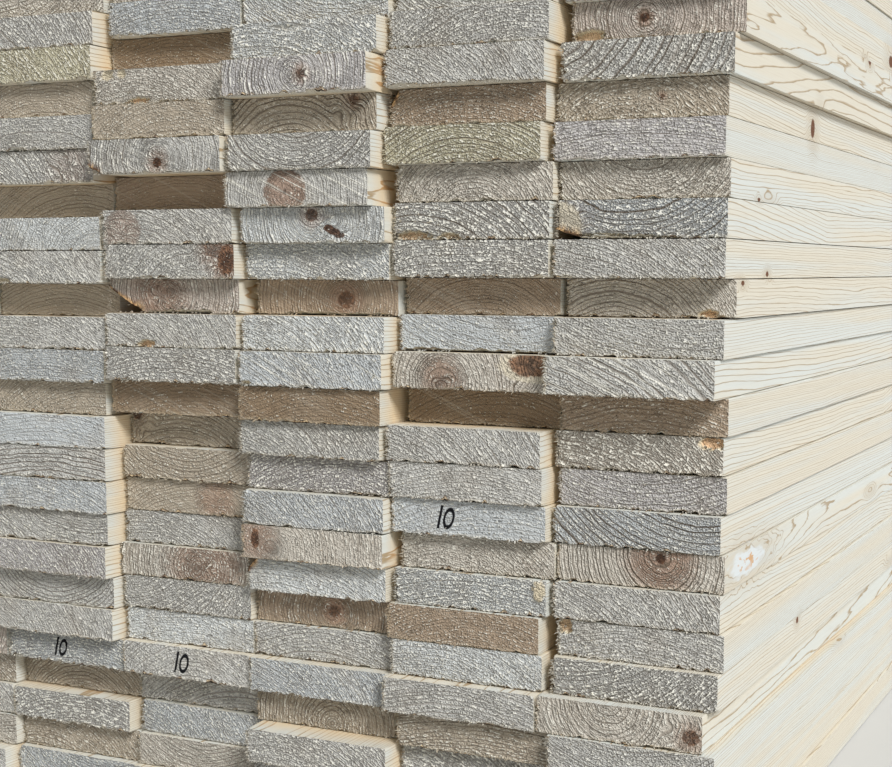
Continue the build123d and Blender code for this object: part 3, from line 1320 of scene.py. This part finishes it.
    def build(self, rings: bpy.types.NodeTree) -> bpy.types.Material:
        """Makes the finish.

        Args:
            rings: The growth rings' group.

        Returns:
            The material of the sawn ends.
        """
        material, c, place = self.start("sawn end")
        line, fuzz, saw = c.split(c.stored("habit"))
        off_knot, spot, dark = c.split(c.stored("knot"))
        heart, collar, _ = c.split(c.stored("heart"))
        torn, bark, seed = c.split(c.stored("wear"))
        chipped, around, pith_far = c.split(c.stored("chip"))
        group = c.add("ShaderNodeGroup", node_tree=rings)
        c.feed(group.inputs, place, c.stored("pith"), off_knot, c.times(seed, 90.0), pith_far)
        late = group.outputs["Late wood"]

        flat = c.vector("MULTIPLY", place, (1.0, 0.15, 1.0))
        rough = c.math("MULTIPLY_ADD", c.math("POWER", fuzz, 1.5), 1.30, 0.10)
        rough = c.times(rough, c.ease(c.noise(flat, 0.040), 0.35, 0.62, 0.72, 1.10))
        early = c.ease(c.math("FRACT", group.outputs["Ring"]), 0.80, 0.45, 0.35, 1.0)
        fibre = c.times(self.torn_fibre(c, group, flat, seed), c.times(rough, early))
        fibre = c.larger(c.math("MINIMUM", fibre, 1.6), -1.6)
        # Where the fibre stands up it is painted pale, partly as pale torn fibre and partly as a
        # painted highlight; where it sinks it is painted dark, as painted shade in its hollows, on
        # top of the bump
        tufts = c.times(c.ease(fibre, 0.30, 1.05), c.less(1.0, c.times(late, 0.7)))
        pit_shade = c.ease(fibre, -0.38, -1.35)
        streaks = self.streaks(c, place, saw, seed)
        broken, under = self.broken_edge(c, seed)

        wobble = c.times(c.less(c.noise(flat, 0.16, 3.0, 0.55), 0.5), 0.7)
        off_spot = c.plus(spot, wobble)
        heart_mask = c.ease(c.plus(around, c.times(wobble, 0.6)), 1.25, 0.45)
        mottled = c.plus(c.noise(flat, 0.30, 3.0, 0.6), c.ease(off_knot, 2.0, 14.0, -0.16, 0.02))
        knot_tone = c.mix(c.ease(mottled, 0.28, 0.72), self.knot_colour, self.heart_colour)
        bark_tone, chip_tone, broken_tone = (
            c.mix(c.ease(c.noise(flat, scale), low, high), tint, self.hollow_colour)
            for scale, low, high, tint in (
                ((0.28, 1.0, 0.10), 0.42, 0.60, self.bark_colour),
                ((0.10, 1.0, 0.42), 0.56, 0.72, self.chip_colour),
                (0.35, 0.40, 0.62, self.break_colour),
            )
        )

        tone = c.add("ShaderNodeGamma")
        c.feed(tone.inputs, c.stored("tone"), self.deepen)
        line_share = c.math("MINIMUM", c.math("MULTIPLY_ADD", line, 0.80, 0.22), 1.0)
        base = c.coat(
            tone.outputs[0],
            (c.ease(c.noise(flat, 0.018), 0.45, 0.75), 0.30, self.cloud_colour),
            (heart_mask, heart, self.blush_colour),
            (late, line_share, self.line_colour),
        )
        # A near-white that the tufts and saw streaks take: pale fibre, and partly a painted
        # highlight
        light = c.mix(0.72, base, self.tuft_highlight_colour)
        base = c.coat(
            base,
            (streaks, 0.90, light),
            (tufts, 1.0, light),
            (pit_shade, 0.50, self.pit_shade_colour),
            (late, c.times(line, 0.45), self.line_colour),
            (c.ease(off_spot, 1.55, 1.25), collar, self.collar_colour),
            (c.ease(off_spot, 1.10, 0.84), dark, knot_tone),
            (torn, 0.40, self.torn_colour),
            (c.ease(chipped, 0.0, 0.4), 1.0, self.torn_colour),
            (c.ease(chipped, 0.45, 1.0), 1.0, chip_tone),
            (bark, 1.0, bark_tone),
            (broken, 0.75, broken_tone),
            (under, 1.0, self.gap_shadow_colour),
            (self.number(c), 1.0, self.ink_colour),
        )
        height = c.plus(c.times(fibre, 0.52), c.times(late, c.times(line, -0.60)))
        height = c.less(c.plus(height, c.times(streaks, 0.40)), c.times(broken, 1.5))
        self.end(c, base, self.rough, height)
        return material


@dataclass(frozen=True)
class PlanedSide(Finish):
    """The smooth long faces: pale cream, with thin orange lines of late wood.

    Args:
        outer: The long side that is looked at is past this, to the right.
        whorl: The middle of its pale whorl, along and up.
        whorl_half: Half the whorl's length and half its height.

    Each colour is named for what it paints, and the sizes are in millimetres.
    """

    specular: float = 0.3
    relief: float = 0.35
    depth: float = 0.0006
    outer: float = 545.0
    whorl: tuple = (-1425.0, 339.0)
    whorl_half: tuple = (62.0, 15.0)
    pale: tuple = colour(0.842, 0.855, 0.835)
    warm: tuple = colour(0.862, 0.838, 0.775)
    line_colour: tuple = colour(0.650, 0.560, 0.425)
    fresh_colour: tuple = colour(0.905, 0.800, 0.625)
    fresh_line: tuple = colour(0.820, 0.620, 0.400)
    knot_colour: tuple = colour(0.400, 0.240, 0.130)
    bark_colour: tuple = colour(0.560, 0.380, 0.230)
    whorl_colour: tuple = colour(0.860, 0.885, 0.895)
    fleck_colour: tuple = colour(0.800, 0.600, 0.370)

    def spots(self, c: Chart, place: Socket, halo: Socket, eye: Socket) -> tuple:
        """Sets the pin knots and the pale whorl that the long side shows near its front.

        Args:
            c: The chart to draw in.
            place: Places on the stack, in millimetres.
            halo: The swirl round the knots so far.
            eye: The dark middle of the knots so far.

        Returns:
            The swirl and the dark middles with these added, the whorl's pale patch and its flecks.
        """
        x, y, z = c.split(place)
        outside = c.math("GREATER_THAN", x, self.outer)
        elsewhere = c.times(c.less(1.0, outside), 99.0)
        for knot_y, knot_z, half_long, half_high in SIDE_KNOTS:
            off = c.oval((y, z), (knot_y, knot_z), (half_long, half_high))
            off = c.plus(off, elsewhere)
            eye = c.larger(eye, c.ease(off, 1.15, 0.85))
            halo = c.larger(halo, c.ease(off, 5.0, 1.0))
        ragged = c.noise(place, (0.1, 0.03, 0.09))
        off = c.plus(c.oval((y, z), self.whorl, self.whorl_half), c.times(c.less(ragged, 0.5), 1.4))
        patch = c.times(c.ease(off, 1.15, 0.80), outside)
        blotch = c.noise(place, (0.1, 0.045, 0.12), 2.0, 0.6)
        flecks = c.times(c.ease(blotch, 0.52, 0.58), c.times(patch, c.ease(off, 0.8, 0.4)))
        halo = c.larger(halo, c.times(c.ease(off, 3.2, 0.4), outside))
        return halo, eye, patch, flecks

    def build(self, rings: bpy.types.NodeTree) -> bpy.types.Material:
        """Makes the finish.

        Args:
            rings: The growth rings' group.

        Returns:
            The material of the long faces.
        """
        material, c, place = self.start("planed side")
        _, bark, seed = c.split(c.stored("wear"))
        _, _, fresh = c.split(c.stored("heart"))
        moved = c.vector("ADD", place, c.join(0.0, c.times(seed, 9000.0), 0.0))
        cells = c.add("ShaderNodeTexVoronoi")
        c.feed(cells.inputs["Vector"], c.vector("MULTIPLY", moved, (0.012, 0.0042, 0.016)))
        cells.inputs["Scale"].default_value = 1.0
        cells.inputs["Randomness"].default_value = 0.9
        chosen = c.math("GREATER_THAN", c.split(cells.outputs["Color"])[0], 0.88)
        eye = c.times(c.ease(cells.outputs["Distance"], 0.055, 0.038), chosen)
        halo = c.times(c.ease(cells.outputs["Distance"], 0.30, 0.05), chosen)
        halo, eye, patch, flecks = self.spots(c, place, halo, eye)
        group = c.add("ShaderNodeGroup", node_tree=rings)
        pith = c.vector("MULTIPLY", c.stored("pith"), (1.0, 1.0, 0.55))
        off_knot = c.less(34.0, c.times(halo, 14.0))
        c.feed(group.inputs, moved, pith, off_knot, c.times(seed, 90.0))
        part = c.math("FRACT", group.outputs["Ring"])
        late = c.times(c.ease(part, 0.78, 0.93), c.ease(part, 1.0, 0.95))
        hairs = c.noise(moved, (0.9, 0.012, 0.9), 3.0, 0.6)
        bands = c.plus(c.noise(moved, (0.02, 0.0012, 0.05)), c.times(seed, 0.22))
        base = c.coat(
            c.mix(c.ease(bands, 0.42, 0.76), self.pale, self.warm),
            (c.ease(hairs, 0.45, 0.75), 0.15, self.line_colour),
            (late, 0.90, self.line_colour),
            (halo, 0.25, self.line_colour),
            (fresh, 0.85, c.mix(late, self.fresh_colour, self.fresh_line)),
            (patch, 0.85, self.whorl_colour),
            (flecks, 0.85, self.fleck_colour),
            (eye, 1.0, self.knot_colour),
            (bark, 0.8, self.bark_colour),
        )
        self.end(c, base, c.ease(late, 0.0, 1.0, 0.62, 0.5), c.plus(c.times(hairs, 0.6), late))
        return material


@dataclass
class Stack:
    """All the boards, one piece for each layer.

    Args:
        blank: The plain board that all are shaped from.
        fringe: The splinters on their ends.
        least_gap: Faces nearer than this across the stack are of one board, in metres.
        end_depth: Faces of the blank within this of its ends are sawn ones, in metres.
    """

    blank: BoardBlank = field(default_factory=BoardBlank)
    fringe: Fringe = field(default_factory=Fringe)
    least_gap: float = 0.0002
    end_depth: float = 0.0005

    def points(self, mesh: bpy.types.Mesh) -> np.ndarray:
        """Reads the vertices of a mesh.

        Args:
            mesh: The mesh.

        Returns:
            Its vertices, one in each row.
        """
        places = np.empty(len(mesh.vertices) * 3)
        mesh.vertices.foreach_get("co", places)
        return places.reshape(-1, 3)

    def boxes(self, node: str, row: int) -> list[BoardBox]:
        """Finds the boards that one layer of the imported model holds.

        Args:
            node: The layer's name.
            row: Its place from the top.

        Returns:
            The boxes of its boards, from the left.
        """
        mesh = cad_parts[node].data
        places = self.points(mesh)
        faces = sorted((places[list(face.vertices)] for face in mesh.polygons),
                       key=lambda corners: corners[:, 0].min())
        groups: list[list] = []
        right = -math.inf
        for corners in faces:
            if corners[:, 0].min() >= right + self.least_gap:
                groups.append([])
            groups[-1].append(corners)
            right = max(right, corners[:, 0].max())
        boxes = []
        for column, group in zip(COLUMNS, groups):
            every = np.concatenate(group)
            boxes.append(BoardBox(column, row, Vector(every.min(0)), Vector(every.max(0))))
        return boxes

    def splinters(self, spike: Spike, board: Board,
                  values: dict[str, np.ndarray]) -> bpy.types.Object:
        """Makes one board's splinters, with the board's own finish.

        Args:
            spike: The vertices and faces of one splinter.
            board: The board.
            values: What the board's finish reads.

        Returns:
            The splinters, as one piece.
        """
        places, faces = self.fringe.grow(spike, board)
        mesh = bpy.data.meshes.new("fringe")
        mesh.from_pydata((places * MM).tolist(), [], faces)
        clear = {"knot": NO_KNOT, "rim": NO_EDGE, "number": (NOWHERE,) * 3,
                 "wear": (0.75, 0.0, values["wear"][0, 2])}
        store(mesh, {name: np.tile(clear.get(name, numbers[0]), (len(places), 1))
                     for name, numbers in values.items()})
        return bpy.data.objects.new("fringe", mesh)

    def layer(self, name: str, row: int, blank: bpy.types.Object, spike: Spike) -> None:
        """Shapes the six boards of one layer and joins them.

        Args:
            name: The layer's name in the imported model.
            row: Its place from the top.
            blank: The plain board.
            spike: The vertices and faces of one splinter.
        """
        start = self.points(blank.data) / MM
        made = []
        for box in self.boxes(name, row):
            board = Board(self.blank, start, box)
            places, values = board.shape()
            piece = blank.copy()
            piece.data = blank.data.copy()
            piece.data.vertices.foreach_set("co", places.ravel())
            store(piece.data, values)
            piece.data.update()
            splinters = self.splinters(spike, board, values)
            for finish in piece.data.materials:
                splinters.data.materials.append(finish)
            made += [piece, splinters]
        deselect()
        for piece in made:
            show(piece)
            piece.select_set(True)
        whole = bpy.context.view_layer.objects.active = made[0]
        bpy.ops.object.join()
        whole.name = whole.data.name = f"boards_{name}"
        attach(whole, "root")
        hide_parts(name)
        log.info("%s: %d faces", whole.name, len(whole.data.polygons))

    def build(self) -> None:
        """Models the blank, and makes every layer from it."""
        spike = self.fringe.splinter()
        blank = self.blank.make()
        rings = GrowthRings().build()
        for finish in (SawnEnd(), PlanedSide()):
            blank.data.materials.append(finish.build(rings))
        middle = self.blank.length / 2
        for face in blank.data.polygons:
            at_end = abs(face.center.y - middle) > middle - self.end_depth
            face.material_index = 0 if at_end else 1
        for row, name in enumerate(sorted(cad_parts, reverse=True)):
            self.layer(name, row, blank, spike)
        bpy.data.objects.remove(blank)


@dataclass(frozen=True)
class Studio:
    """The floor, the lamps and the camera.

    Args:
        key: The strength of the lamp from the upper right.
        softness: How wide that lamp looks from the stack, in degrees.
        fill: The strength of the light from all round.
        towards_lamp: Which way that lamp is: right, back and up.
        lamp_away: How far off it hangs, in metres.
        stand: Where the camera stands, in metres.
        turn: How far the camera is turned to the left, in degrees.
        tilt: How far it looks down.
        roll: How far it leans.
        picture: The photograph's width and height, in pixels.
        reach: The lens's focal length, in those pixels.
        axis: Where the lens points in the photograph.
        sensor: The width of the camera's sensor, in millimetres.
        floor_size: The floor's width, in metres.
        floor_drop: How far the floor lies below the stack's underside, in metres.
    """

    key: float = 3.15
    softness: float = 18.0
    fill: float = 0.40
    towards_lamp: tuple = (1.25, -1.0, 1.25)
    lamp_away: float = 9.0
    stand: tuple = (1.01325, -2.979, 0.644)
    turn: float = 24.81
    tilt: float = 6.42
    roll: float = 0.16
    picture: tuple = (892.0, 767.0)
    reach: float = 1541.0
    axis: tuple = (518.0, 443.0)
    sensor: float = 36.0
    floor_size: float = 60.0
    floor_drop: float = 0.0008
    floor_colour: tuple = colour(0.80, 0.80, 0.79)
    backdrop_colour: tuple = colour(0.90, 0.90, 0.89)

    def floor(self) -> None:
        """Lays a plain pale floor under the stack."""
        deselect()
        bpy.ops.mesh.primitive_plane_add(size=self.floor_size, location=(0, 0, -self.floor_drop))
        floor = bpy.context.object
        floor.name = "floor"
        settle()
        paint = bpy.data.materials.new("pale floor")
        paint.use_nodes = True
        shader = paint.node_tree.nodes["Principled BSDF"]
        shader.inputs["Base Color"].default_value = self.floor_colour
        shader.inputs["Roughness"].default_value = 0.8
        floor.data.materials.append(paint)
        log.info("floor: %d face", len(floor.data.polygons))

    def light(self) -> None:
        """Lights the stack from the upper right, softly, and a little from all round."""
        towards = Vector(self.towards_lamp).normalized()
        lamp = bpy.data.lights.new("key lamp", "SUN")
        lamp.energy = self.key
        lamp.angle = math.radians(self.softness)
        holder = bpy.data.objects.new("key lamp", lamp)
        holder.location = towards * self.lamp_away
        holder.rotation_euler = towards.to_track_quat("Z", "Y").to_euler()
        show(holder)
        world = bpy.data.worlds.new("studio")
        bpy.context.scene.world = world
        world.use_nodes = True
        c = Chart(world.node_tree)
        ground = world.node_tree.nodes["Background"]
        c.feed(ground.inputs, (1.0, 1.0, 1.0, 1.0), self.fill)
        seen = c.add("ShaderNodeBackground")
        c.feed(seen.inputs, self.backdrop_colour)
        path = c.add("ShaderNodeLightPath").outputs
        looked_at = c.larger(path["Is Camera Ray"],
                             c.larger(path["Is Glossy Ray"], path["Is Transmission Ray"]))
        mixed = c.add("ShaderNodeMixShader")
        c.feed(mixed.inputs, looked_at, ground.outputs[0], seen.outputs[0])
        c.feed(world.node_tree.nodes["World Output"].inputs["Surface"], mixed.outputs[0])

    def camera(self) -> None:
        """Stands the camera where the photograph was taken from."""
        wide, high = self.picture
        lens = bpy.data.cameras.new("camera")
        lens.sensor_fit = "HORIZONTAL"
        lens.sensor_width = self.sensor
        lens.lens = self.reach / wide * self.sensor
        lens.shift_x = (wide / 2 - self.axis[0]) / wide
        lens.shift_y = (self.axis[1] - high / 2) / wide
        lens.clip_end = 100.0
        holder = bpy.data.objects.new("camera", lens)
        turned = Matrix.Rotation(math.radians(self.turn), 4, "Z")
        turned = turned @ Matrix.Rotation(math.radians(90.0 - self.tilt), 4, "X")
        turned = turned @ Matrix.Rotation(math.radians(self.roll), 4, "Z")
        holder.matrix_world = Matrix.Translation(self.stand) @ turned
        show(holder)
        bpy.context.scene.camera = holder

    def build(self) -> None:
        """Sets up the whole studio."""
        self.floor()
        self.light()
        self.camera()
        bpy.context.scene.view_settings.view_transform = "Standard"


def main() -> None:
    """Builds the studio and the stack."""
    Studio().build()
    Stack().build()
    bpy.context.view_layer.update()


if __name__ == "__main__":
    main()
